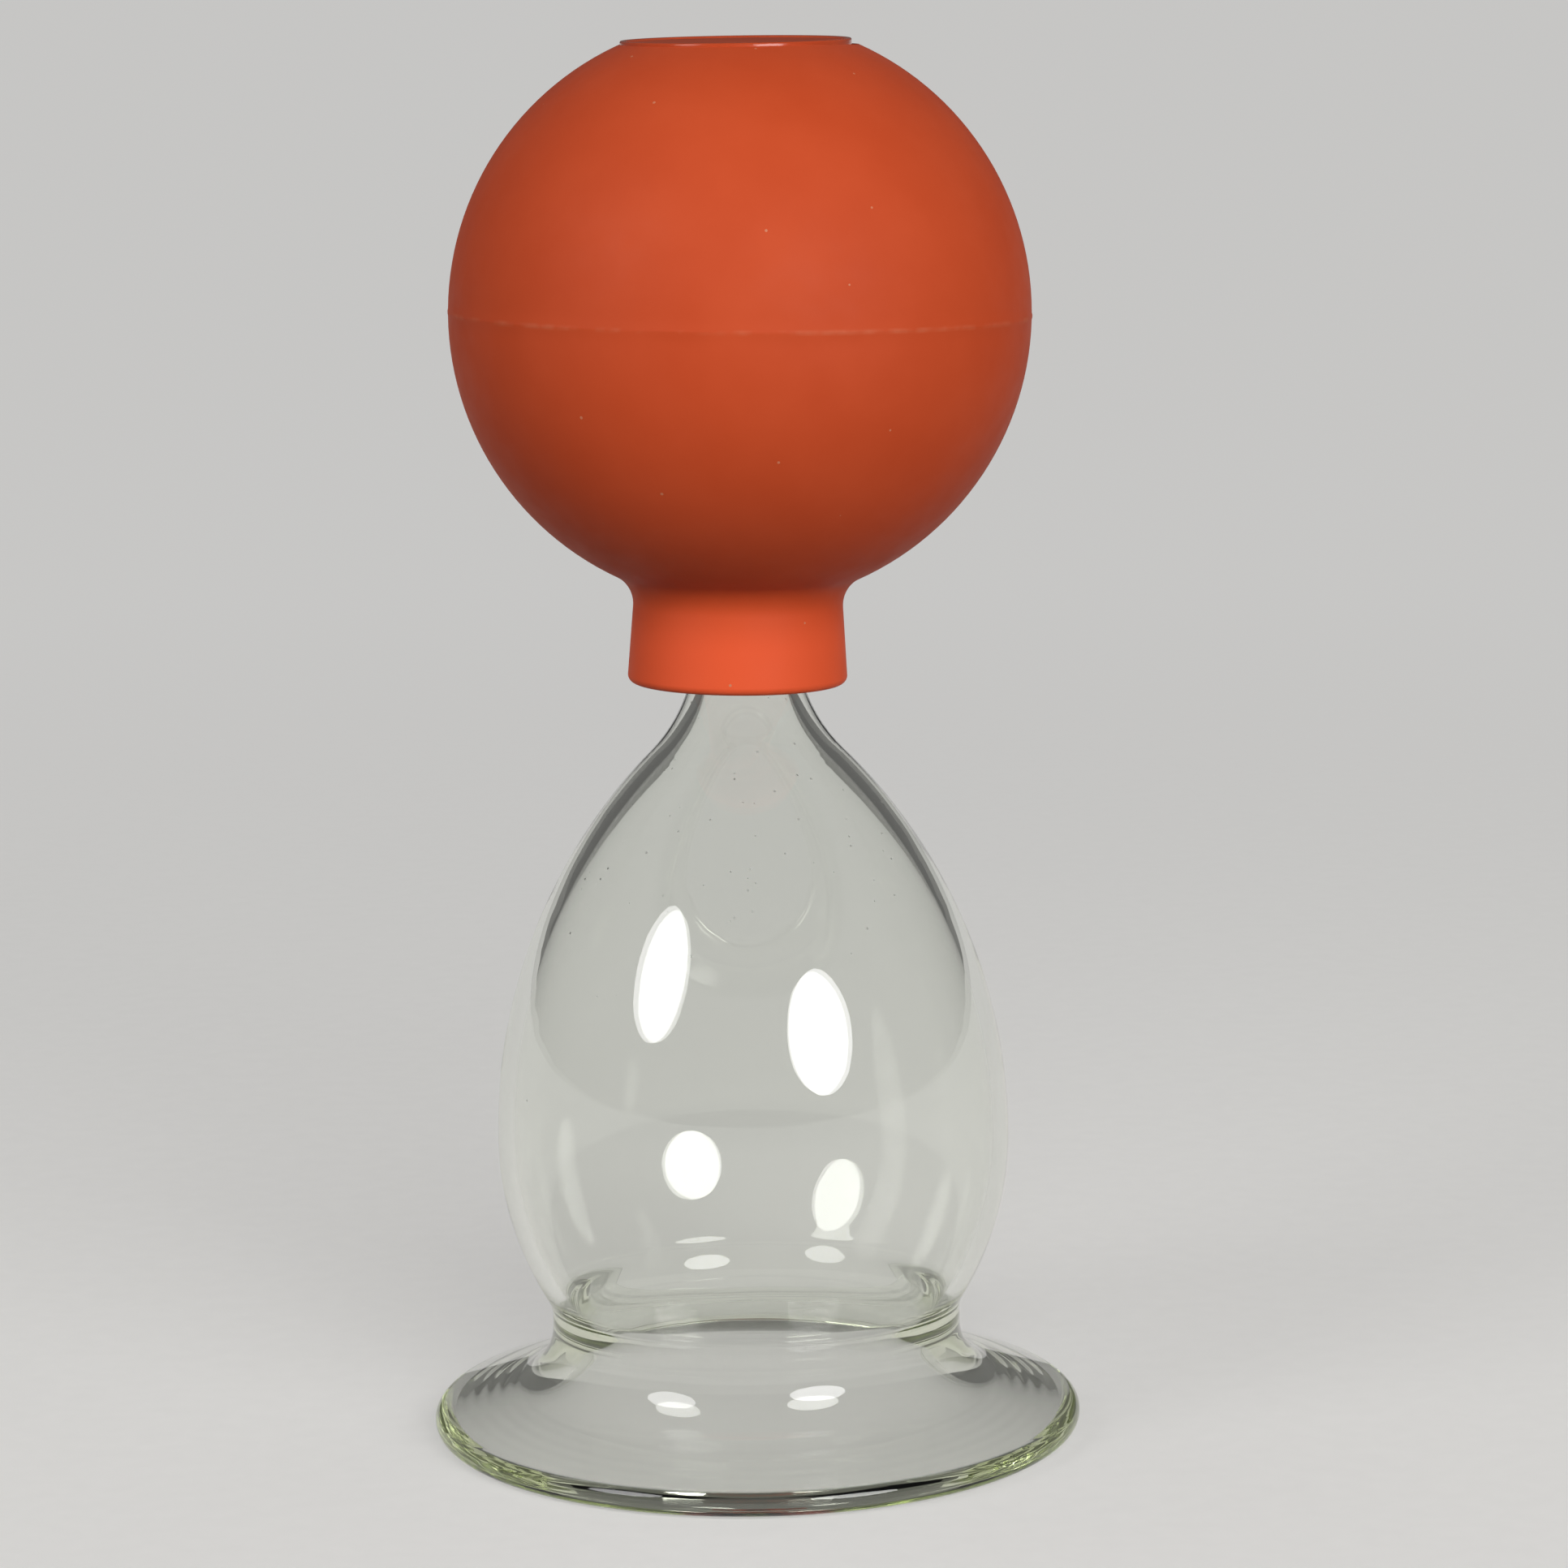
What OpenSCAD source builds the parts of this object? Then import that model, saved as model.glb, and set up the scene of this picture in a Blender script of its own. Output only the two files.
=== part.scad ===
// Cupping glass: a blown glass bell with a rubber suction ball pushed onto its neck.
// Sizes are in millimetres. The bell stands on its rim on the XY plane and turns about Z.

/* [Rim and flare] */
// Outside diameter of the rim
rim_d = 68.6; // [60:0.2:90]
// Thickness of the rim's rounded edge
rim_t = 3; // [2:0.1:4.5]
// Width of the flat ring under the rim that seals on the skin
seat_w = 1.4; // [0.6:0.1:3]
// Slope of the flare, in degrees below level
flare_angle = 18; // [8:1:35]

/* [Waist] */
// Outside diameter of the waist
waist_d = 43.2; // [34:0.2:48]
// Length of the straight part of the waist
waist_len = 1.3; // [0.2:0.1:8]
// Radius of the hollow curve from the waist up to the belly
waist_top_r = 4.2; // [3:0.1:12]
// Radius of the hollow curve from the waist down to the flare
waist_foot_r = 6.2; // [3:0.1:8]
// Thickness of the glass at the waist
waist_wall = 2.9; // [1.4:0.1:4]
// Distance from the foot of the waist down to the throat, the narrowest place inside
throat_drop = 1; // [0:0.1:2]

/* [Belly and shoulder] */
// Outside diameter of the belly
belly_d = 53.9; // [50:0.1:60]
// Radius of the side's curve below the belly
belly_low_r = 33; // [28:0.5:60]
// Radius of the side's curve above the belly
belly_high_r = 58; // [46:0.2:80]
// Radius of the hollow curve from the shoulder up to the neck
shoulder_r = 16.8; // [14:0.1:28]
// Thickness of the glass at the belly
belly_wall = 1.7; // [1:0.1:3]

/* [Neck] */
// Outside diameter of the neck
neck_d = 10.6; // [9:0.1:14]
// Bore of the neck
neck_bore_d = 7.2; // [4:0.1:8.8]
// Length of the straight neck above the shoulder
neck_len = 12; // [8:0.5:26]

/* [Rubber ball] */
// Outside diameter of the ball
ball_d = 60; // [50:0.5:80]
// Thickness of the ball's wall
ball_wall = 2.6; // [1.5:0.1:5]
// Outside diameter of the collar at its foot
collar_d = 22.8; // [19:0.1:30]
// Length of the collar below the underside of the ball
collar_len = 8.3; // [4:0.1:20]
// Lean of the collar's side, in degrees from upright
collar_lean = 4; // [0:0.5:8]
// Radius of the rounded edge at the collar's foot
collar_edge_r = 0.8; // [0.3:0.1:2]
// Radius of the hollow curve between collar and ball
collar_fillet_r = 3.3; // [0.5:0.1:5]
// Distance from the top of the shoulder's curve down to the collar's foot
collar_drop = 4.4; // [2:0.1:9]
// Clearance between neck and collar, each side
neck_gap = 0.05; // [0.01:0.01:0.1]

/* [End disc] */
// Diameter of the disc
disc_d = 23.7; // [15:0.1:32]
// Thickness of the disc at its lip
disc_t = 3.2; // [1.5:0.1:6]
// Height of the disc's lip above the ball
disc_proud = 0.4; // [0:0.05:1]
// Width of the disc's lip
lip_w = 0.5; // [0.2:0.05:2]
// Depth of the dish inside the lip
dish_depth = 0.2; // [0.05:0.05:0.6]
// Clearance between disc and ball, each side
disc_gap = 0.08; // [0.02:0.01:0.1]

/* [Hidden] */
$fn = 128;
// Largest turn of one straight piece of a drawn curve, in degrees
turn_step = 3;
// Overrun of a cut past the surface it opens
cut = 1;
glass_color = [0.84, 0.91, 0.89, 0.4];
rubber_color = [0.78, 0.31, 0.19];
disc_color = [0.72, 0.27, 0.16];

// Radii of the bell's outer face
rim_r = rim_d / 2;
edge_r = rim_t / 2;
waist_r = waist_d / 2;
belly_r = belly_d / 2;
neck_r = neck_d / 2;

// Radii of the bell's inner face
seat_in_r = rim_r - edge_r - seat_w;
waist_in_r = waist_r - waist_wall;
belly_in_r = belly_r - belly_wall;
bore_r = neck_bore_d / 2;
neck_wall = neck_r - bore_r;
tip_r = neck_wall / 2;

// A bulging arc and a hollow arc meet smoothly in an S: step is how far apart they stand sideways,
// sum is their radii together, and rise is how far apart they stand in height.
function s_rise(sum, step) = sqrt(step * (2 * sum - step));
function s_sum(rise, step) = (rise * rise / step + step) / 2;
function s_turn(sum, step) = acos(1 - step / sum);

// Points along an arc about a centre, from one angle to another
function arc(centre, r, from, to) =
    let (n = max(2, ceil(abs(to - from) / turn_step)))
    [for (i = [0:n]) let (a = from + (to - from) * i / n) centre + r * [cos(a), sin(a)]];

// Height of the flare's upper face at radius r, which is tangent to the rim's rounded edge
flare_touch_r = rim_r - edge_r + edge_r * sin(flare_angle);
flare_touch_z = edge_r + edge_r * cos(flare_angle);
function flare_z(r) = flare_touch_z + (flare_touch_r - r) * tan(flare_angle);

// Heights of the bell, worked up from the rim
foot_centre_r = waist_r + waist_foot_r;
waist_low_z = flare_z(foot_centre_r) + waist_foot_r / cos(flare_angle);
waist_high_z = waist_low_z + waist_len;
low_sum = belly_low_r + waist_top_r;
belly_z = waist_high_z + s_rise(low_sum, belly_r - waist_r);
high_sum = belly_high_r + shoulder_r;
neck_z = belly_z + s_rise(high_sum, belly_r - neck_r);
tip_z = neck_z + neck_len;

// Turns of the outer face's two S curves
low_turn = s_turn(low_sum, belly_r - waist_r);
high_turn = s_turn(high_sum, belly_r - neck_r);

// Below the belly the inner face keeps the belly's wall, then turns in to the throat
throat_z = waist_low_z - throat_drop;
low_in_r = belly_low_r - belly_wall;
low_in_sum = s_sum(belly_z - throat_z, belly_in_r - waist_in_r);
throat_top_r = low_in_sum - low_in_r;
throat_foot_r = waist_foot_r + waist_wall - throat_drop;
throat_centre_r = waist_in_r + throat_foot_r;
low_in_turn = s_turn(low_in_sum, belly_in_r - waist_in_r);

// Above the belly it turns at the same heights as the outer face, with radii of its own
shoulder_in_r = shoulder_r + neck_wall;
high_in_sum = s_sum(neck_z - belly_z, belly_in_r - bore_r);
high_in_r = high_in_sum - shoulder_in_r;
high_in_turn = s_turn(high_in_sum, belly_in_r - bore_r);

// The flare's underside runs straight from the seat's inner edge to touch the curve below the throat
seat_to_throat = [throat_centre_r - seat_in_r, throat_z];
flare_in_angle = 180 - atan2(seat_to_throat[1], seat_to_throat[0])
    - asin(throat_foot_r / norm(seat_to_throat));

// The ball sits on the neck by its collar
ball_r = ball_d / 2;
collar_r = collar_d / 2;
collar_bore_r = neck_r + neck_gap;
collar_mouth_r = collar_bore_r + shoulder_r - sqrt(shoulder_r * shoulder_r - collar_drop * collar_drop);
collar_z = neck_z - collar_drop;
ball_z = collar_z + collar_len + ball_r;

// The collar's side leans up to a hollow curve that touches both the side and the ball
collar_out = [cos(collar_lean), sin(collar_lean)];
collar_up = [-sin(collar_lean), cos(collar_lean)];
collar_edge = [collar_r - collar_edge_r, collar_z + collar_edge_r];
fillet_start = collar_edge + (collar_edge_r + collar_fillet_r) * collar_out - [0, ball_z];
fillet_reach = ball_r + collar_fillet_r;
fillet_drop = -fillet_start * collar_up;
fillet_excess = fillet_start * fillet_start - fillet_reach * fillet_reach;
fillet_shift = fillet_drop - sqrt(fillet_drop * fillet_drop - fillet_excess);
fillet_centre = fillet_start + fillet_shift * collar_up + [0, ball_z];
fillet_end_angle = atan2(ball_z - fillet_centre[1], -fillet_centre[0]);

// The disc closes a round opening in the top of the ball
disc_r = disc_d / 2;
opening_r = disc_r + disc_gap;
opening_z = ball_z + sqrt(ball_r * ball_r - opening_r * opening_r);
disc_z = opening_z + disc_proud - disc_t;

// Half section of the bell: up the outer face, over the neck's rounded tip, down the inner face
module bell_section() {
    polygon(concat(
        [[seat_in_r, 0]],
        arc([rim_r - edge_r, edge_r], edge_r, -90, 90 - flare_angle),
        arc([foot_centre_r, waist_low_z], waist_foot_r, 270 - flare_angle, 180),
        arc([waist_r + waist_top_r, waist_high_z], waist_top_r, 180, 180 - low_turn),
        arc([belly_r - belly_low_r, belly_z], belly_low_r, -low_turn, 0),
        arc([belly_r - belly_high_r, belly_z], belly_high_r, 0, high_turn),
        arc([neck_r + shoulder_r, neck_z], shoulder_r, 180 + high_turn, 180),
        arc([neck_r - tip_r, tip_z - tip_r], tip_r, 0, 180),
        arc([bore_r + shoulder_in_r, neck_z], shoulder_in_r, 180, 180 + high_in_turn),
        arc([belly_in_r - high_in_r, belly_z], high_in_r, high_in_turn, 0),
        arc([belly_in_r - low_in_r, belly_z], low_in_r, 0, -low_in_turn),
        arc([waist_in_r + throat_top_r, throat_z], throat_top_r, 180 - low_in_turn, 180),
        arc([throat_centre_r, throat_z], throat_foot_r, 180, 270 - flare_in_angle)
    ));
}

// Half section of the solid collar, up to the middle of the ball
module collar_section() {
    polygon(concat(
        [[0, collar_z]],
        arc(collar_edge, collar_edge_r, -90, collar_lean),
        arc(fillet_centre, collar_fillet_r, 180 + collar_lean, fillet_end_angle),
        [[0, ball_z]]
    ));
}

// Half section of the collar's bore, which opens out over the shoulder of the bell
module collar_bore_section() {
    polygon([
        [0, collar_z - cut],
        [collar_mouth_r, collar_z - cut],
        [collar_mouth_r, collar_z],
        [collar_bore_r, neck_z],
        [collar_bore_r, ball_z],
        [0, ball_z]
    ]);
}

// Blown glass, in one piece
module glass_bell() {
    color(glass_color) rotate_extrude() bell_section();
}

// Moulded rubber: a hollow ball with a thick collar under it and a round opening on top
module rubber_ball() {
    color(rubber_color) difference() {
        union() {
            translate([0, 0, ball_z]) sphere(ball_r);
            rotate_extrude() collar_section();
        }
        translate([0, 0, ball_z]) sphere(ball_r - ball_wall);
        rotate_extrude() collar_bore_section();
        translate([0, 0, ball_z]) cylinder(r = opening_r, h = ball_r + cut);
    }
}

// Flat rubber disc with a thin raised lip
module end_disc() {
    color(disc_color) translate([0, 0, disc_z]) difference() {
        cylinder(r = disc_r, h = disc_t);
        translate([0, 0, disc_t - dish_depth]) cylinder(r = disc_r - lip_w, h = dish_depth + cut);
    }
}

glass_bell();
rubber_ball();
end_disc();
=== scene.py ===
import math

import bpy
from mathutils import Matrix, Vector


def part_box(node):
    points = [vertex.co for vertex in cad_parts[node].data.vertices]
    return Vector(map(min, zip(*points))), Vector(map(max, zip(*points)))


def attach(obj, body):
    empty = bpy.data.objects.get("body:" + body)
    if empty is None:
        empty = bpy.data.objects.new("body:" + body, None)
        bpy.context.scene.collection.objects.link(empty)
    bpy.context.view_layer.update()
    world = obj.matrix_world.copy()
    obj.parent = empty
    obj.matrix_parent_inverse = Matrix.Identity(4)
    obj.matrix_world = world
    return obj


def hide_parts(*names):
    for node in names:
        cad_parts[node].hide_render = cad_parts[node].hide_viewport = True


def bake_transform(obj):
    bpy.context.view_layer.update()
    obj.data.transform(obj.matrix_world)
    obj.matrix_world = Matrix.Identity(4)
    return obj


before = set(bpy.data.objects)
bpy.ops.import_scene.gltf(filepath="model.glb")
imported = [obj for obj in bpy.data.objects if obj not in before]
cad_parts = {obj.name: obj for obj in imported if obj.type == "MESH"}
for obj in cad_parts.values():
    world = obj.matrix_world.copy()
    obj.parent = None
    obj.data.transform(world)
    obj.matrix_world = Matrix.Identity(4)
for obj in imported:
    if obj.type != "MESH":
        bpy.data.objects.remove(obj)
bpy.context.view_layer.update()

# Glass bell
# One piece of clear soda-lime glass with a thick flared rim, a waist, a pear-shaped belly and a tubular
# neck. It is blown at the lamp, turned by hand and fire polished, so nothing is joined to it.
MM = 0.001
SEGMENTS = 192  # sides of a turned piece
ARC_TURN = 6  # most degrees that one straight piece of a drawn curve turns
ARC_STEP = 1.2 * MM  # and its greatest length
MERGE = 0.002 * MM  # points nearer than this become one
SMOOTH = math.radians(35)  # edges sharper than this stay crisp


def arc(centre, radius, start, end):
    """Points of a half section, as (radius, height), along an arc between two angles in degrees."""
    turn = abs(end - start)
    count = max(2, math.ceil(turn / ARC_TURN), math.ceil(math.radians(turn) * radius / ARC_STEP))
    angles = [math.radians(start + (end - start) * i / count) for i in range(count + 1)]
    return [(centre[0] + radius * math.cos(a), centre[1] + radius * math.sin(a)) for a in angles]


def s_rise(radii, step):
    """Height between a bulging and a hollow arc that meet in an S and stand a step apart sideways."""
    return math.sqrt(step * (2 * radii - step))


def s_radii(rise, step):
    """Sum of the two radii of such an S."""
    return (rise * rise / step + step) / 2


def s_turn(radii, step):
    """Angle that each arc of such an S turns through, in degrees."""
    return math.degrees(math.acos(1 - step / radii))


def lathe(name, outline):
    """Draws a closed half section point by point, from one merged point, and spins it about the axis."""
    bpy.ops.object.select_all(action="DESELECT")
    bpy.ops.mesh.primitive_plane_add(size=MM, location=(outline[0][0], 0, outline[0][1]))
    bpy.ops.object.transform_apply(location=True, rotation=True, scale=True)
    piece = bpy.context.object
    piece.name = piece.data.name = name
    bpy.ops.object.mode_set(mode="EDIT")
    bpy.ops.mesh.select_all(action="SELECT")
    bpy.ops.mesh.merge(type="CENTER")
    for here, there in zip(outline, outline[1:] + outline[:1]):
        step = (there[0] - here[0], 0, there[1] - here[1])
        bpy.ops.mesh.extrude_vertices_move(TRANSFORM_OT_translate={"value": step})
    bpy.ops.mesh.select_all(action="SELECT")
    bpy.ops.mesh.remove_doubles(threshold=MERGE)
    bpy.ops.mesh.spin(steps=SEGMENTS, angle=2 * math.pi, center=(0, 0, 0), axis=(0, 0, 1))
    bpy.ops.mesh.select_all(action="SELECT")
    bpy.ops.mesh.remove_doubles(threshold=MERGE)
    bpy.ops.mesh.normals_make_consistent(inside=False)
    bpy.ops.object.mode_set(mode="OBJECT")
    bpy.ops.object.shade_smooth_by_angle(angle=SMOOTH)
    return piece


def ease(value, low, high):
    """0 at low, 1 at high, and a soft rise between them."""
    t = min(1.0, max(0.0, (value - low) / (high - low)))
    return t * t * (3 - 2 * t)


def unevenness(piece, group_name, weight_at, lump, height):
    """Moves a wall in and out by a soft noise, as strong as the weight at each of its points."""
    group = piece.vertex_groups.new(name=group_name)
    for point in piece.data.vertices:
        group.add([point.index], weight_at(point), "REPLACE")
    noise = bpy.data.textures.new(group_name, "CLOUDS")
    noise.noise_scale = lump
    noise.noise_depth = 1
    modifier = piece.modifiers.new(group_name, "DISPLACE")
    modifier.texture = noise
    modifier.texture_coords = "LOCAL"
    modifier.vertex_group = group_name
    modifier.strength = 2 * height
    bpy.context.view_layer.objects.active = piece
    bpy.ops.object.modifier_apply(modifier=group_name)


def to_linear(colour):
    """Linear RGBA of an sRGB hex colour."""
    parts = [int(colour[i:i + 2], 16) / 255 for i in (1, 3, 5)]
    return [p / 12.92 if p <= 0.04045 else ((p + 0.055) / 1.055) ** 2.4 for p in parts] + [1.0]


def add_node(tree, kind, settings, inputs):
    """Adds a node, sets its options, and sets or links its inputs."""
    node = tree.nodes.new(kind)
    for option, value in settings.items():
        setattr(node, option, value)
    for socket, value in inputs.items():
        if isinstance(value, bpy.types.NodeSocket):
            tree.links.new(value, node.inputs[socket])
        else:
            node.inputs[socket].default_value = value
    return node


def new_material(name):
    """An empty node material, with its tree."""
    material = bpy.data.materials.new(name)
    material.use_nodes = True
    material.node_tree.nodes.clear()
    return material, material.node_tree


def dust_specks(tree, place, cell, speck_r, rarity):
    """Mask of round specks, one to a cell at most, and fewer of them as the rarity rises from 0 to 1."""
    cells = add_node(tree, "ShaderNodeTexVoronoi", {}, {
        "Vector": place.outputs["Object"],
        "Scale": 1 / cell,
    })
    near_speck = add_node(tree, "ShaderNodeMath", {"operation": "LESS_THAN"}, {
        0: cells.outputs["Distance"],
        1: speck_r / cell,
    })
    few = add_node(tree, "ShaderNodeMath", {"operation": "GREATER_THAN"}, {
        0: cells.outputs["Color"],
        1: rarity,
    })
    dust = add_node(tree, "ShaderNodeMath", {"operation": "MULTIPLY"}, {
        0: near_speck.outputs[0],
        1: few.outputs[0],
    })
    return dust.outputs[0]


bell_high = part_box("glass_bell")[1]
rim_r = bell_high.x
tip_z = bell_high.z
edge_r = 1.5 * MM
seat_w = 1.4 * MM
flare_angle = 18  # degrees below level
waist_r = 21.6 * MM
waist_len = 1.3 * MM
waist_top_r = 4.2 * MM
waist_foot_r = 6.2 * MM
waist_wall = 2.9 * MM
throat_drop = 1 * MM
belly_r = 26.95 * MM
belly_low_r = 33 * MM
belly_high_r = 58 * MM
belly_wall = 1.7 * MM
shoulder_r = 16.8 * MM
neck_r = 5.3 * MM
bore_r = 3.6 * MM
ring_pitch = 1.5 * MM
ring_height = 0.005 * MM
rows_per_ring = 8

# The outer face, worked up from the rim.
slope = math.radians(flare_angle)
seat_in_r = rim_r - edge_r - seat_w
foot_centre_r = waist_r + waist_foot_r
flare_touch_r = rim_r - edge_r + edge_r * math.sin(slope)
flare_touch_z = edge_r + edge_r * math.cos(slope)
flare_z = flare_touch_z + (flare_touch_r - foot_centre_r) * math.tan(slope)
waist_low_z = flare_z + waist_foot_r / math.cos(slope)
waist_high_z = waist_low_z + waist_len
belly_z = waist_high_z + s_rise(belly_low_r + waist_top_r, belly_r - waist_r)
neck_z = belly_z + s_rise(belly_high_r + shoulder_r, belly_r - neck_r)
low_turn = s_turn(belly_low_r + waist_top_r, belly_r - waist_r)
high_turn = s_turn(belly_high_r + shoulder_r, belly_r - neck_r)

# The inner face, which is narrowest at the throat, a little below the waist.
neck_wall = neck_r - bore_r
belly_in_r = belly_r - belly_wall
waist_in_r = waist_r - waist_wall
low_in_r = belly_low_r - belly_wall
throat_z = waist_low_z - throat_drop
low_radii = s_radii(belly_z - throat_z, belly_in_r - waist_in_r)
throat_top_r = low_radii - low_in_r
throat_foot_r = waist_foot_r + waist_wall - throat_drop
throat_centre_r = waist_in_r + throat_foot_r
high_radii = s_radii(neck_z - belly_z, belly_in_r - bore_r)
high_in_r = high_radii - shoulder_r - neck_wall
low_in_turn = s_turn(low_radii, belly_in_r - waist_in_r)
high_in_turn = s_turn(high_radii, belly_in_r - bore_r)
seat_to_throat = Vector((throat_centre_r - seat_in_r, throat_z))
under_slope = math.asin(throat_foot_r / seat_to_throat.length)
flare_in_angle = 180 - math.degrees(math.atan2(seat_to_throat.y, seat_to_throat.x) + under_slope)

bell_outline = [(seat_in_r, 0)]
bell_outline += arc((rim_r - edge_r, edge_r), edge_r, -90, 90 - flare_angle)
bell_outline += arc((foot_centre_r, waist_low_z), waist_foot_r, 270 - flare_angle, 180)
bell_outline += arc((waist_r + waist_top_r, waist_high_z), waist_top_r, 180, 180 - low_turn)
bell_outline += arc((belly_r - belly_low_r, belly_z), belly_low_r, -low_turn, 0)
bell_outline += arc((belly_r - belly_high_r, belly_z), belly_high_r, 0, high_turn)
bell_outline += arc((neck_r + shoulder_r, neck_z), shoulder_r, 180 + high_turn, 180)
bell_outline += arc((neck_r - neck_wall / 2, tip_z - neck_wall / 2), neck_wall / 2, 0, 180)
bell_outline += arc((neck_r + shoulder_r, neck_z), shoulder_r + neck_wall, 180, 180 + high_in_turn)
bell_outline += arc((belly_in_r - high_in_r, belly_z), high_in_r, high_in_turn, 0)
bell_outline += arc((belly_in_r - low_in_r, belly_z), low_in_r, 0, -low_in_turn)
bell_outline += arc((waist_in_r + throat_top_r, throat_z), throat_top_r, 180 - low_in_turn, 180)
bell_outline += arc((throat_centre_r, throat_z), throat_foot_r, 180, 270 - flare_in_angle)

# The tool that opened out the flare left faint rings on its underside.
under_top = Vector(bell_outline[-1])
under_run = Vector(bell_outline[0]) - under_top
under_out = Vector((-under_run.y, under_run.x)).normalized()
under_rows = math.ceil(under_run.length / ring_pitch * rows_per_ring)
for row in range(1, under_rows):
    share = row / under_rows
    wave = math.sin(math.tau * share * under_run.length / ring_pitch) * math.sin(math.pi * share)
    bell_outline.append(tuple(under_top + under_run * share + under_out * ring_height * wave))
glass_bell = lathe("blown_glass_bell", bell_outline)


def lower_inner_wall(point):
    """Weight of the inner wall between the waist and the belly, where the hot glass was drawn in."""
    faces_axis = point.normal.x * point.co.x + point.normal.y * point.co.y < 0
    above_waist = ease(point.co.z, waist_low_z, waist_high_z)
    below_belly = 1 - ease(point.co.z, waist_high_z, belly_z)
    return faces_axis * above_waist * below_belly


def flare_underside(point):
    """Weight of the flare's underside between seat and waist, which was opened out with a tool."""
    radius = point.co.xy.length
    faces_down = point.normal.z < -0.5
    past_waist = ease(radius, waist_in_r, foot_centre_r)
    before_seat = 1 - ease(radius, foot_centre_r, seat_in_r)
    return faces_down * past_waist * before_seat


unevenness(glass_bell, "lower_inner_wall", lower_inner_wall, lump=14 * MM, height=0.02 * MM)
unevenness(glass_bell, "flare_underside", flare_underside, lump=12 * MM, height=0.02 * MM)

# Soda-lime glass, fire polished: clear, with a faint yellow-green tint where light runs along the wall.
# Fine cords of uneven glass run round it, and a few specks of dust cling to it as dull dots.
blown_glass, tree = new_material("blown soda-lime glass, fire polished")
place = add_node(tree, "ShaderNodeTexCoord", {}, {})
place_parts = add_node(tree, "ShaderNodeSeparateXYZ", {}, {0: place.outputs["Object"]})
# The dust is thinner on the belly than on the shoulder.
rarity = add_node(tree, "ShaderNodeMapRange", {"interpolation_type": "SMOOTHSTEP"}, {
    "Value": place_parts.outputs["Z"],
    "From Min": belly_z + 15 * MM,
    "From Max": belly_z + 30 * MM,
    "To Min": 0.92,
    "To Max": 0.5,
})
dust = dust_specks(tree, place, cell=2.2 * MM, speck_r=0.14 * MM, rarity=rarity.outputs["Result"])
dullness = add_node(tree, "ShaderNodeMapRange", {}, {
    "Value": dust,
    "To Min": 0.0,
    "To Max": 0.6,
})
cord_width = 5 * MM
cord_height = 0.02 * MM
cord_stretch = 0.35
flow = add_node(tree, "ShaderNodeMapping", {}, {
    "Vector": place.outputs["Object"],
    "Scale": (cord_stretch, cord_stretch, 1.0),
})
cords = add_node(tree, "ShaderNodeTexNoise", {}, {
    "Vector": flow.outputs["Vector"],
    "Scale": 1 / cord_width,
    "Detail": 1.0,
})
waviness = add_node(tree, "ShaderNodeBump", {}, {
    "Height": cords.outputs["Fac"],
    "Strength": 1.0,
    "Distance": cord_height,
})
surface = add_node(tree, "ShaderNodeBsdfPrincipled", {}, {
    "Base Color": to_linear("#FDFEFC"),
    "Roughness": dullness.outputs["Result"],
    "IOR": 1.52,
    "Transmission Weight": 1.0,
    "Normal": waviness.outputs["Normal"],
})
tint = add_node(tree, "ShaderNodeVolumeAbsorption", {}, {
    "Color": to_linear("#E4F0A0"),
    "Density": 12.0,
})
add_node(tree, "ShaderNodeOutputMaterial", {}, {
    "Surface": surface.outputs["BSDF"],
    "Volume": tint.outputs["Volume"],
})
glass_bell.data.materials.append(blown_glass)
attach(glass_bell, "glass")
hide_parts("glass_bell")

# Rubber ball
# A hollow ball of orange-red natural rubber with a thick collar, moulded in one piece in a two-part
# mould that leaves a fine ridge round its middle. The collar is pushed over the glass neck and grips it.
collar_low, collar_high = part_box("rubber_ball")
collar_z = collar_low.z
ball_r = 30 * MM
ball_wall = 2.6 * MM
collar_r = 11.4 * MM
collar_len = 8.3 * MM
collar_lean = 4  # degrees from upright
collar_edge_r = 0.8 * MM
collar_fillet_r = 3.3 * MM
neck_gap = 0.05 * MM
opening_r = 11.93 * MM
seam_half = 0.36 * MM
seam_high = 0.05 * MM
seam_roll = -1.3  # degrees, as the next two
seam_pitch = 1.1
seam_reaches = (10, 8, 6, 4, 2)  # above and below the middle

ball_z = collar_z + collar_len + ball_r
ball_in_r = ball_r - ball_wall
collar_drop = neck_z - collar_z
collar_bore_r = neck_r + neck_gap
mouth_r = collar_bore_r + shoulder_r - math.sqrt(shoulder_r ** 2 - collar_drop ** 2)

# A hollow curve touches both the collar's leaning side and the ball.
lean = math.radians(collar_lean)
collar_out = Vector((math.cos(lean), math.sin(lean)))
collar_up = Vector((-math.sin(lean), math.cos(lean)))
middle = Vector((0, ball_z))
edge_centre = Vector((collar_r - collar_edge_r, collar_z + collar_edge_r))
from_middle = edge_centre + collar_out * (collar_edge_r + collar_fillet_r) - middle
drop = -from_middle.dot(collar_up)
excess = from_middle.length_squared - (ball_r + collar_fillet_r) ** 2
fillet_centre = middle + from_middle + collar_up * (drop - math.sqrt(drop * drop - excess))
to_ball = middle - fillet_centre
fillet_end = math.degrees(math.atan2(to_ball.y, to_ball.x))

seam_turn = math.degrees(seam_half / ball_r)
crest_turn = seam_turn / 3
opening_turn = math.degrees(math.acos(opening_r / ball_r))
inner_top_turn = math.degrees(math.acos(opening_r / ball_in_r))
inner_low_turn = math.degrees(math.acos(collar_bore_r / ball_in_r))

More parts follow.
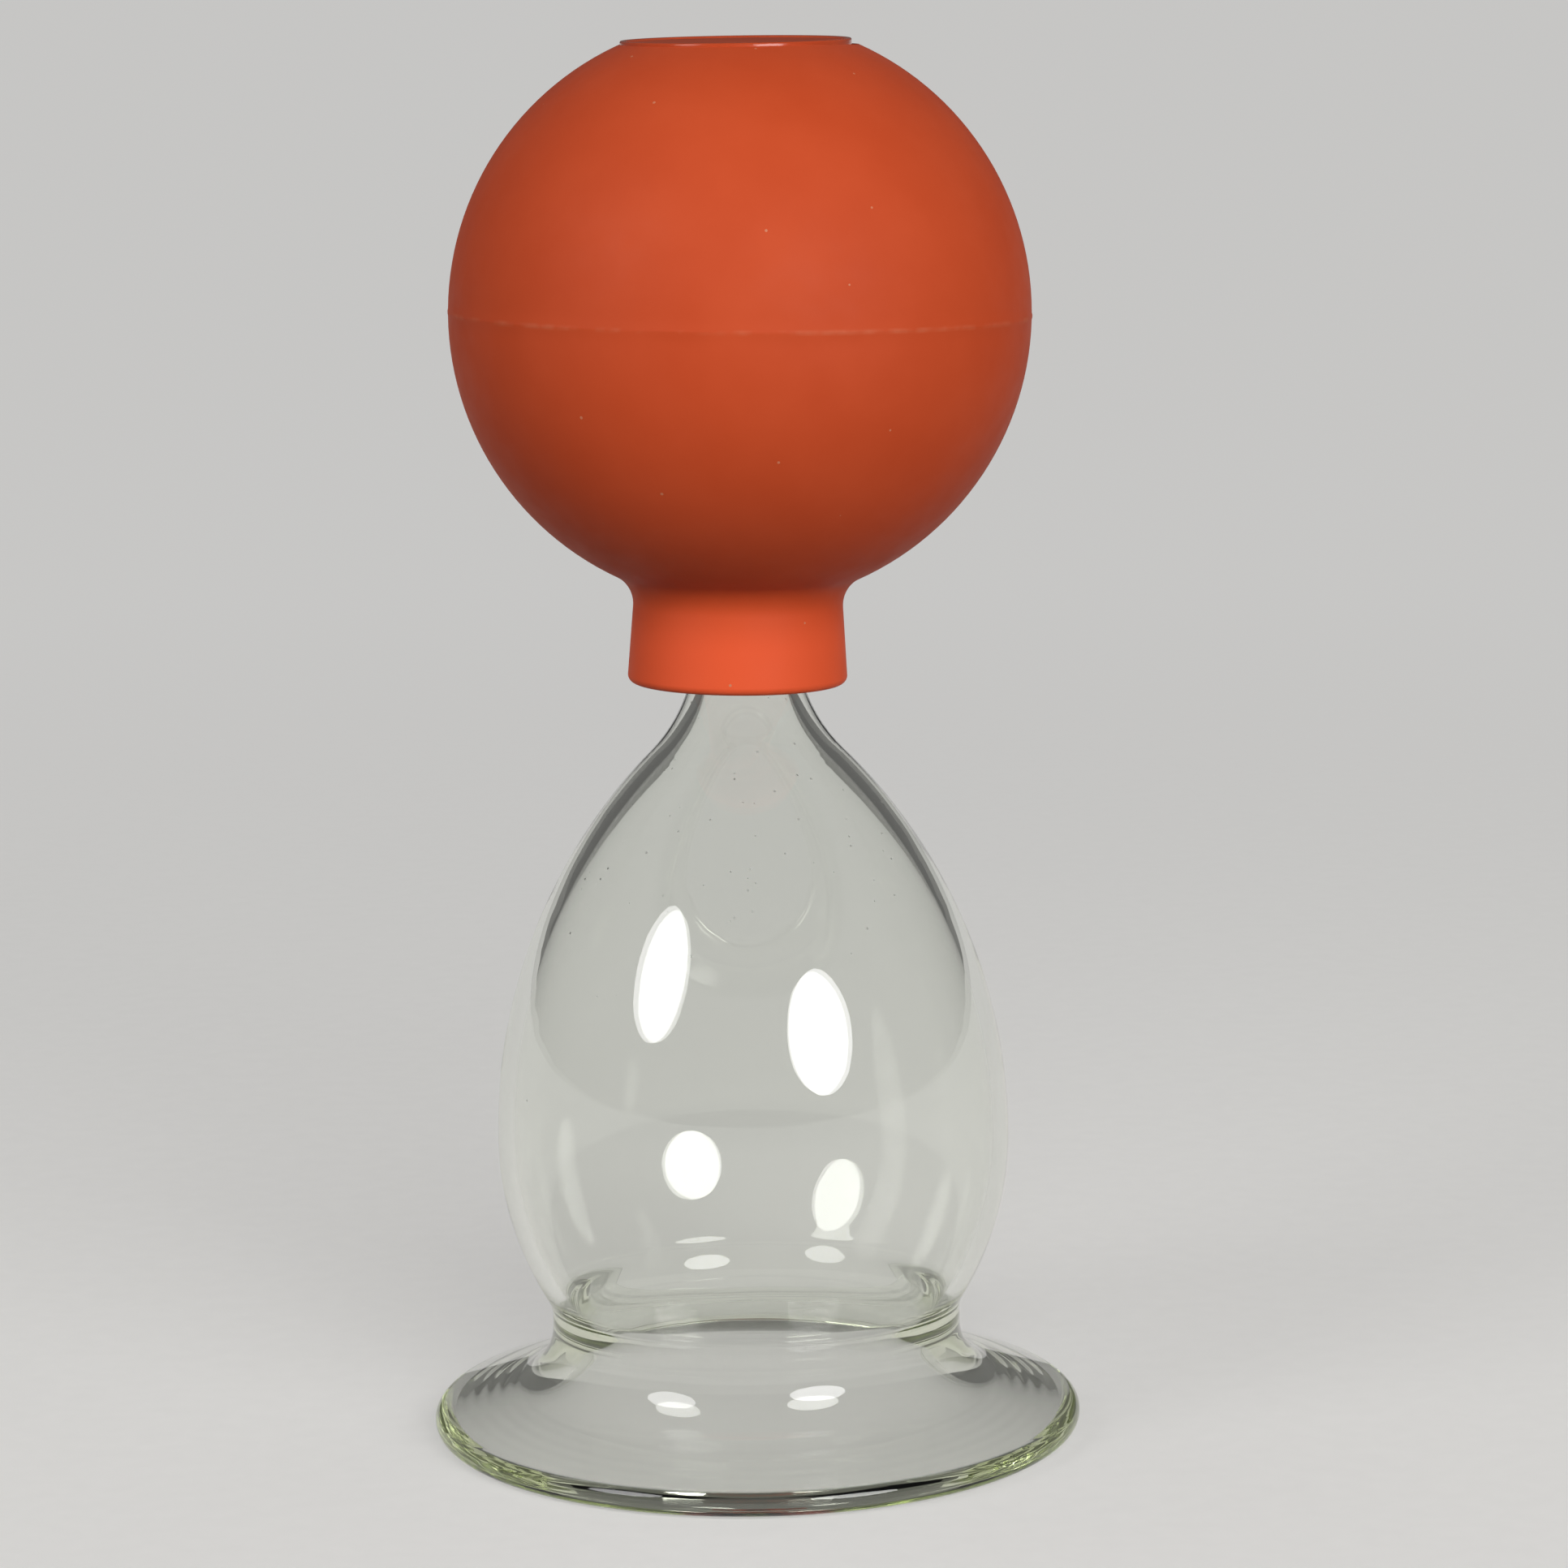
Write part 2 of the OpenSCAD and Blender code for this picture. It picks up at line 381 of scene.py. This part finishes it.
ball_outline = [(collar_bore_r, neck_z), (mouth_r, collar_z)]
ball_outline += arc(edge_centre, collar_edge_r, -90, collar_lean)
ball_outline += arc(fillet_centre, collar_fillet_r, 180 + collar_lean, fillet_end)
ball_outline += arc(middle, ball_r, fillet_end - 180, -seam_turn)
ball_outline += arc(middle, ball_r + seam_high, -crest_turn, crest_turn)
ball_outline += arc(middle, ball_r, seam_turn, opening_turn)
ball_outline += arc(middle, ball_in_r, inner_top_turn, -inner_low_turn)
rubber_ball = lathe("moulded_rubber_ball", ball_outline)


def seam_ridge(point):
    """1 on the crest of the seam and 0 elsewhere."""
    return float(abs(point.co.z - ball_z) < seam_half / 2 and point.co.xy.length > ball_r)


seam = rubber_ball.data.attributes.new("seam", "FLOAT", "POINT")
for point in rubber_ball.data.vertices:
    seam.data[point.index].value = seam_ridge(point)
unevenness(rubber_ball, "seam_ridge", seam_ridge, lump=2.5 * MM, height=0.035 * MM)

# The two halves of the mould parted a little askew, so the ridge and the rows near it are turned, and
# those nearest to it turn farthest.
for reach in seam_reaches:
    height = ball_r * math.sin(math.radians(reach))
    for point in rubber_ball.data.vertices:
        from_centre = point.co - Vector((0, 0, ball_z))
        point.select = from_centre.length > ball_r - ball_wall / 2 and abs(from_centre.z) < height
    bpy.ops.object.mode_set(mode="EDIT")
    bpy.ops.mesh.select_mode(type="VERT")
    for angle, axis in ((seam_roll, "Y"), (seam_pitch, "X")):
        bpy.ops.transform.rotate(
            value=math.radians(angle) / len(seam_reaches),
            orient_axis=axis,
            center_override=(0, 0, ball_z),
        )
    bpy.ops.object.mode_set(mode="OBJECT")

# Natural rubber, moulded and dusted with talc: dull, orange-red and faintly mottled. The seam is paler,
# and specks of dust cling to it. The collar is painted brighter than the ball: painted light, for the
# light that the glass and lamps throw on it.
moulded_rubber, tree = new_material("moulded natural rubber, orange-red")
place = add_node(tree, "ShaderNodeTexCoord", {}, {})
mottle_size = 9 * MM
clouds = add_node(tree, "ShaderNodeTexNoise", {}, {
    "Vector": place.outputs["Object"],
    "Scale": 1 / mottle_size,
    "Detail": 4.0,
})
tone = add_node(tree, "ShaderNodeMix", {"data_type": "RGBA"}, {
    0: clouds.outputs["Fac"],
    6: to_linear("#CB4A22"),
    7: to_linear("#DA572F"),
})
place_parts = add_node(tree, "ShaderNodeSeparateXYZ", {}, {0: place.outputs["Object"]})
# Painted light: the collar is drawn in a brighter tone, for the light that the glass and lamps throw on
# it.
collar_painted_light = add_node(tree, "ShaderNodeMapRange", {"interpolation_type": "SMOOTHSTEP"}, {
    "Value": place_parts.outputs["Z"],
    "From Min": collar_z + collar_len + 2 * MM,
    "From Max": collar_z + collar_len / 2,
})
tone = add_node(tree, "ShaderNodeMix", {"data_type": "RGBA"}, {
    0: collar_painted_light.outputs["Result"],
    6: tone.outputs[2],
    7: to_linear("#F56036"),
})
scuff_size = 2.5 * MM
breaks = add_node(tree, "ShaderNodeTexNoise", {}, {
    "Vector": place.outputs["Object"],
    "Scale": 1 / scuff_size,
    "Detail": 2.0,
})
ridge = add_node(tree, "ShaderNodeAttribute", {"attribute_name": "seam"}, {})
patches = add_node(tree, "ShaderNodeMapRange", {}, {
    "Value": breaks.outputs["Fac"],
    "From Min": 0.45,
    "From Max": 0.7,
    "To Min": 0.0,
    "To Max": 0.22,
})
scuffed = add_node(tree, "ShaderNodeMath", {"operation": "MULTIPLY"}, {
    0: ridge.outputs["Fac"],
    1: patches.outputs["Result"],
})
tone = add_node(tree, "ShaderNodeMix", {"data_type": "RGBA"}, {
    0: scuffed.outputs[0],
    6: tone.outputs[2],
    7: to_linear("#E08E6C"),
})
tone = add_node(tree, "ShaderNodeMix", {"data_type": "RGBA"}, {
    0: dust_specks(tree, place, cell=3 * MM, speck_r=0.16 * MM, rarity=0.68),
    6: tone.outputs[2],
    7: to_linear("#DA8866"),
})
dullness = add_node(tree, "ShaderNodeMapRange", {}, {
    "Value": breaks.outputs["Fac"],
    "To Min": 0.52,
    "To Max": 0.7,
})
# The real grain is about 0.1 mm, too fine to show, so it is drawn five times as coarse.
grain_size = 0.5 * MM
grain_height = 0.012 * MM
grain = add_node(tree, "ShaderNodeTexNoise", {}, {
    "Vector": place.outputs["Object"],
    "Scale": 1 / grain_size,
    "Detail": 2.0,
})
skin = add_node(tree, "ShaderNodeBump", {}, {
    "Height": grain.outputs["Fac"],
    "Strength": 0.5,
    "Distance": grain_height,
})
surface = add_node(tree, "ShaderNodeBsdfPrincipled", {}, {
    "Base Color": tone.outputs[2],
    "Roughness": dullness.outputs["Result"],
    "IOR": 1.52,
    "Specular IOR Level": 0.15,
    "Sheen Weight": 0.03,
    "Sheen Roughness": 0.4,
    "Normal": skin.outputs["Normal"],
})
add_node(tree, "ShaderNodeOutputMaterial", {}, {"Surface": surface.outputs["BSDF"]})
rubber_ball.data.materials.append(moulded_rubber)
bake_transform(rubber_ball)
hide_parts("rubber_ball")

# End disc
# A flat disc of the same rubber that closes the hole on top of the ball, where the thumb presses. It
# came off a polished mould face, so it has more sheen than the ball. Its lip stands a little proud.
disc_low, disc_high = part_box("end_disc")
disc_r = disc_high.x
disc_t = disc_high.z - disc_low.z
lip_w = 0.5 * MM
lip_edge_r = 0.2 * MM
lip_edge_rows = 5
dish_depth = 0.2 * MM

bpy.ops.object.select_all(action="DESELECT")
bpy.ops.mesh.primitive_circle_add(
    vertices=SEGMENTS,
    radius=disc_r,
    fill_type="NGON",
    location=(0, 0, disc_low.z),
)
bpy.ops.object.transform_apply(location=True, rotation=True, scale=True)
end_disc = bpy.context.object
end_disc.name = end_disc.data.name = "polished_end_disc"
bpy.ops.object.mode_set(mode="EDIT")
bpy.ops.mesh.select_all(action="SELECT")
bpy.ops.mesh.extrude_region_move(TRANSFORM_OT_translate={"value": (0, 0, disc_t)})
bpy.ops.mesh.inset(thickness=lip_w, depth=0)
bpy.ops.mesh.inset(thickness=dish_depth, depth=-dish_depth)
bpy.ops.mesh.inset(thickness=disc_r / 2, depth=0)
bpy.ops.mesh.poke()
bpy.ops.mesh.select_all(action="DESELECT")
bpy.ops.mesh.select_mode(type="EDGE")
bpy.ops.object.mode_set(mode="OBJECT")
for edge in end_disc.data.edges:
    ends = [end_disc.data.vertices[i].co for i in edge.vertices]
    on_top = all(end.z > disc_high.z - dish_depth / 2 for end in ends)
    runs_round = abs(ends[0].xy.length - ends[1].xy.length) < lip_w / 2
    edge.select = on_top and runs_round
bpy.ops.object.mode_set(mode="EDIT")
bpy.ops.mesh.bevel(offset=lip_edge_r, segments=lip_edge_rows, affect="EDGES")
bpy.ops.mesh.select_all(action="SELECT")
bpy.ops.mesh.normals_make_consistent(inside=False)
bpy.ops.object.mode_set(mode="OBJECT")
bpy.ops.object.shade_smooth_by_angle(angle=SMOOTH)

# The same rubber off a turned and polished mould face: a soft sheen with faint turning rings, and a
# brighter shine on the lip. Its tone is a little darker than the ball's, as painted shade for its dim top
# face.
polished_rubber, tree = new_material("polished natural rubber, orange-red")
place = add_node(tree, "ShaderNodeTexCoord", {}, {})
mottle_size = 5 * MM
clouds = add_node(tree, "ShaderNodeTexNoise", {}, {
    "Vector": place.outputs["Object"],
    "Scale": 1 / mottle_size,
    "Detail": 3.0,
})
# Painted shade: these tones are a little darker than the ball's, for the top face that the low lamps
# hardly light.
tone = add_node(tree, "ShaderNodeMix", {"data_type": "RGBA"}, {
    0: clouds.outputs["Fac"],
    6: to_linear("#BB4520"),
    7: to_linear("#CC522C"),
})
dullness = add_node(tree, "ShaderNodeMapRange", {}, {
    "Value": clouds.outputs["Fac"],
    "To Min": 0.55,
    "To Max": 0.7,
})
outwards = add_node(tree, "ShaderNodeVectorMath", {"operation": "MULTIPLY"}, {
    0: place.outputs["Object"],
    1: (1.0, 1.0, 0.0),
})
radius = add_node(tree, "ShaderNodeVectorMath", {"operation": "LENGTH"}, {0: outwards.outputs["Vector"]})
on_lip = add_node(tree, "ShaderNodeMapRange", {}, {
    "Value": radius.outputs["Value"],
    "From Min": disc_r - lip_w - dish_depth,
    "From Max": disc_r - lip_w,
})
lip_dullness = 0.14
dullness = add_node(tree, "ShaderNodeMix", {"data_type": "FLOAT"}, {
    0: on_lip.outputs["Result"],
    2: dullness.outputs["Result"],
    3: lip_dullness,
})
# The real rings are about 0.1 mm apart, too fine to show, so they are drawn six times as coarse. The
# pattern's wave turns through 20 radians in a metre at scale 1.
turning_pitch = 0.6 * MM
turning_height = 0.01 * MM
turning = add_node(tree, "ShaderNodeTexWave", {"wave_type": "RINGS", "rings_direction": "Z"}, {
    "Vector": place.outputs["Object"],
    "Scale": math.tau / (20 * turning_pitch),
    "Distortion": 0.6,
})
rings = add_node(tree, "ShaderNodeBump", {}, {
    "Height": turning.outputs["Fac"],
    "Strength": 0.4,
    "Distance": turning_height,
})
surface = add_node(tree, "ShaderNodeBsdfPrincipled", {}, {
    "Base Color": tone.outputs[2],
    "Roughness": dullness.outputs[0],
    "IOR": 1.52,
    "Specular IOR Level": 0.4,
    "Normal": rings.outputs["Normal"],
})
add_node(tree, "ShaderNodeOutputMaterial", {}, {"Surface": surface.outputs["BSDF"]})
end_disc.data.materials.append(polished_rubber)
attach(end_disc, "ball_end")
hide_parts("end_disc")

# Floor
# A very wide sheet of pale grey board with a matt face, laid flat. The glass stands on it, and it
# reaches far enough to fill the background.
floor_r = 40
floor_sides = 64
floor_gap = 0.2 * MM
fibre_size = 3 * MM
near_r = 0.1
far_r = 0.7
near_glow = 0.35
far_glow = 0.57

bpy.ops.object.select_all(action="DESELECT")
bpy.ops.mesh.primitive_circle_add(
    vertices=floor_sides,
    radius=floor_r,
    fill_type="NGON",
    location=(0, 0, -floor_gap),
)
floor = bpy.context.object
floor.name = "floor"

# Pale board with a matt face: an even, very light grey with hardly any grain.
pale_board, tree = new_material("pale matt board")
place = add_node(tree, "ShaderNodeTexCoord", {}, {})
fibres = add_node(tree, "ShaderNodeTexNoise", {}, {
    "Vector": place.outputs["Object"],
    "Scale": 1 / fibre_size,
    "Detail": 3.0,
})
board_tone = add_node(tree, "ShaderNodeMix", {"data_type": "RGBA"}, {
    0: fibres.outputs["Fac"],
    6: to_linear("#C3C2BF"),
    7: to_linear("#C9C8C5"),
})
# Near the object the lamps light the board and it takes the shadow. Farther off, where it would be too
# bright under the lamps and too dark behind, it is seen at its own pale tone instead.
distance = add_node(tree, "ShaderNodeVectorMath", {"operation": "LENGTH"}, {0: place.outputs["Object"]})
far_off = add_node(tree, "ShaderNodeMapRange", {"interpolation_type": "SMOOTHSTEP"}, {
    "Value": distance.outputs["Value"],
    "From Min": near_r,
    "From Max": far_r,
})
paleness = add_node(tree, "ShaderNodeMapRange", {}, {
    "Value": far_off.outputs["Result"],
    "To Min": near_glow,
    "To Max": far_glow,
})
board_tone = add_node(tree, "ShaderNodeMix", {"data_type": "RGBA"}, {
    0: far_off.outputs["Result"],
    6: board_tone.outputs[2],
    7: to_linear("#303030"),
})
ray = add_node(tree, "ShaderNodeLightPath", {}, {})
seen = add_node(tree, "ShaderNodeMath", {"operation": "ADD"}, {
    0: ray.outputs["Is Camera Ray"],
    1: ray.outputs["Is Glossy Ray"],
})
seen = add_node(tree, "ShaderNodeMath", {"operation": "ADD", "use_clamp": True}, {
    0: seen.outputs[0],
    1: ray.outputs["Is Transmission Ray"],
})
glow = add_node(tree, "ShaderNodeMath", {"operation": "MULTIPLY"}, {
    0: seen.outputs[0],
    1: paleness.outputs["Result"],
})
# It throws little light back up, so that the rubber keeps its shade below.
board_tone = add_node(tree, "ShaderNodeMix", {"data_type": "RGBA"}, {
    0: ray.outputs["Is Diffuse Ray"],
    6: board_tone.outputs[2],
    7: to_linear("#4A4A49"),
})
surface = add_node(tree, "ShaderNodeBsdfPrincipled", {}, {
    "Base Color": board_tone.outputs[2],
    "Roughness": 0.9,
    "Specular IOR Level": 0.0,
    "Emission Color": to_linear("#FEFDFB"),
    "Emission Strength": glow.outputs[0],
})
add_node(tree, "ShaderNodeOutputMaterial", {}, {"Surface": surface.outputs["BSDF"]})
floor.data.materials.append(pale_board)

# Studio light
# Two oval soft lamps, left and right of the camera, whose bright faces show in the glass. A wide key
# light by the camera and two weak lights from behind are kept out of reflections, in a dim, even room.
aim = Vector((0, 0, 60 * MM))
left_place = (-50, 27)
right_place = (34, 17)
key_place = (10, 26)
behind_left = (-130, 24)
behind_right = (130, 24)
wide = (0.6, 0.6)
face_distance = 0.98
room_seen = 0.12
room_light = 0.1


def soft_lamp(name, place, size, power, distance=1.0):
    """An oval lamp that faces the object, with its width and height in metres and its power in watts.

    Its place is azimuth and elevation in degrees. Azimuth 0 is towards the camera, and right is positive.
    """
    a, e = (math.radians(angle) for angle in place)
    away = Vector((math.sin(a) * math.cos(e), -math.cos(a) * math.cos(e), math.sin(e)))
    lamp = bpy.data.lights.new(name, "AREA")
    lamp.shape = "ELLIPSE"
    lamp.size, lamp.size_y = size
    lamp.energy = power
    holder = bpy.data.objects.new(name, lamp)
    bpy.context.scene.collection.objects.link(holder)
    holder.location = aim + away * distance
    holder.rotation_euler = away.to_track_quat("Z", "Y").to_euler()
    return holder


left_lamp = soft_lamp("left_lamp", left_place, size=(0.46, 0.49), power=2.4)
right_lamp = soft_lamp("right_lamp", right_place, size=(0.54, 0.46), power=3.4)
key_lamp = soft_lamp("key_lamp", key_place, size=wide, power=4.0)
fill_left = soft_lamp("fill_left", behind_left, size=wide, power=0.7)
fill_right = soft_lamp("fill_right", behind_right, size=wide, power=0.7)
for unseen in (left_lamp, right_lamp, key_lamp, fill_left, fill_right):
    unseen.visible_glossy = False
    unseen.visible_transmission = False

# The faces of the two side lamps are drawn brighter than the light they give, so that their mirror
# images in the glass stand out from the pale floor. They stand just in front of the lamps.
left_face = soft_lamp("left_face", left_place, size=(0.45, 0.48), power=3.6, distance=face_distance)
right_face = soft_lamp("right_face", right_place, size=(0.53, 0.45), power=4.9, distance=face_distance)
for mirrored in (left_face, right_face):
    mirrored.visible_diffuse = False

world = bpy.data.worlds.new("dim studio")
world.use_nodes = True
tree = world.node_tree
tree.nodes.clear()
ray = add_node(tree, "ShaderNodeLightPath", {}, {})
room = add_node(tree, "ShaderNodeMapRange", {}, {
    "Value": ray.outputs["Is Diffuse Ray"],
    "To Min": room_seen,
    "To Max": room_light,
})
walls = add_node(tree, "ShaderNodeBackground", {}, {
    "Color": to_linear("#FEFDFB"),
    "Strength": room.outputs["Result"],
})
add_node(tree, "ShaderNodeOutputWorld", {}, {"Surface": walls.outputs["Background"]})
bpy.context.scene.world = world

# Light runs round inside the thick rim by dozens of reflections before it comes out.
rim_bounces = 32
bpy.context.scene.cycles.max_bounces = rim_bounces
bpy.context.scene.cycles.glossy_bounces = rim_bounces
bpy.context.scene.cycles.transmission_bounces = rim_bounces

# Camera
# It stands about half a metre away, looks down a little from the front through a long lens, and is
# tipped by under a degree.
look_down = 9.87
tip = -0.86
lens = bpy.data.cameras.new("camera")
lens.sensor_width = 36
lens.lens = 121.5
camera = bpy.data.objects.new("camera", lens)
bpy.context.scene.collection.objects.link(camera)
camera.location = (3.8 * MM, -544.8 * MM, 163.8 * MM)
camera.rotation_mode = "ZYX"
camera.rotation_euler = (math.radians(90 - look_down), 0, math.radians(tip))
bpy.context.scene.camera = camera
bpy.context.scene.view_settings.view_transform = "Standard"
